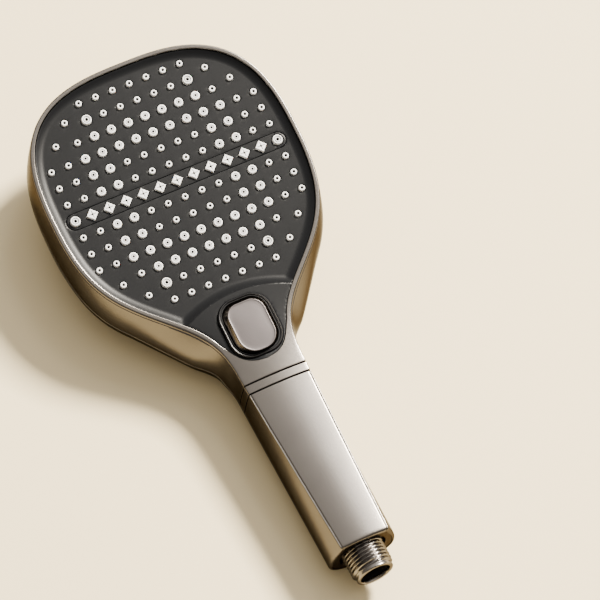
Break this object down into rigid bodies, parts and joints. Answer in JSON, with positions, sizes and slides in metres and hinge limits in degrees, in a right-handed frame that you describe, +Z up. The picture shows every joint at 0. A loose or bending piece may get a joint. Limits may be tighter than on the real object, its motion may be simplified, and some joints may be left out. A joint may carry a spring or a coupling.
{
  "type": "handheld shower head",
  "caption": "Handheld shower head with an oval spray face, a push-button spray selector and a tapering grip that ends in a male hose thread.",
  "frame": {"origin": "on the ground under the middle of the bounding box, the shower head lying on its back", "axes": "+X across the width, +Y along the grip towards the top of the head, +Z up; the spray face looks up and leans 8.5 degrees towards the grip"},
  "size_m": [0.1342, 0.2792, 0.0541],
  "materials": {
    "plated": "gunmetal plating on ABS, satin gloss",
    "inlet_metal": "gunmetal plated, machined thread",
    "end_plastic": "dark plated plastic",
    "face_plastic": "fine matt moulded plastic, dark grey",
    "button_satin": "satin gunmetal plating",
    "bezel_black": "black, half gloss",
    "silicone": "white silicone, half matt",
    "white_acetal": "moulded acetal",
    "blue_acetal": "moulded acetal, grey blue",
    "black_rubber": "EPDM seal",
    "steel": "stainless steel"
  },
  "bodies": {
    "casing": {"front_casing": "plated", "handle_band": "plated", "handle_front_panel": "plated", "back_shell": "plated", "end_cap": "end_plastic", "face_plate": "face_plastic", "centre_strip": "face_plastic", "nozzle_mat": "silicone", "diamond_nozzle_bar": "silicone", "jet_nozzle_1": "silicone", "jet_nozzle_2": "silicone", "jet_nozzle_3": "silicone", "jet_nozzle_4": "silicone", "jet_nozzle_5": "silicone", "jet_nozzle_6": "silicone", "button_bezel": "bezel_black", "button_spring": "steel", "plunger_seal": "black_rubber", "valve_cap": "white_acetal", "valve_cap_screw_1": "steel", "valve_cap_screw_2": "steel", "valve_cap_screw_3": "steel", "valve_body": "white_acetal", "valve_seat": "black_rubber", "body_screw_left": "steel", "body_screw_right": "steel", "chamber_tray": "white_acetal", "chamber_gasket": "black_rubber", "channel_cover": "white_acetal", "water_tube": "white_acetal", "tube_seal_front": "black_rubber", "tube_seal_rear": "black_rubber", "grip_bush": "white_acetal", "connector_clip": "steel", "connector_seal": "black_rubber", "inlet_connector": "inlet_metal", "flow_regulator": "blue_acetal", "inlet_screen": "steel"},
    "button": {"button_cap": "button_satin", "button_plunger": "white_acetal"},
    "selector": {"selector_disc": "white_acetal", "ratchet_wheel": "blue_acetal", "drive_spindle": "steel"}
  },
  "joints": [
    {"name": "button_press", "type": "slide", "parent": "casing", "child": "button", "axis": [0, 0.1478, -0.989], "range_m": [0, 0.003], "stiffness_N_per_m": 800, "springref_m": -0.004, "deforming": ["button_spring"]},
    {"name": "selector_turn", "type": "hinge", "parent": "casing", "child": "selector", "pos_m": [0, -0.00635, 0.03154], "axis": [0, -0.1478, 0.989], "range_deg": [0, 60]}
  ],
  "couplings": [
    {"joint": "selector_turn", "follows": "button_press", "rad_per_m": 349}
  ]
}
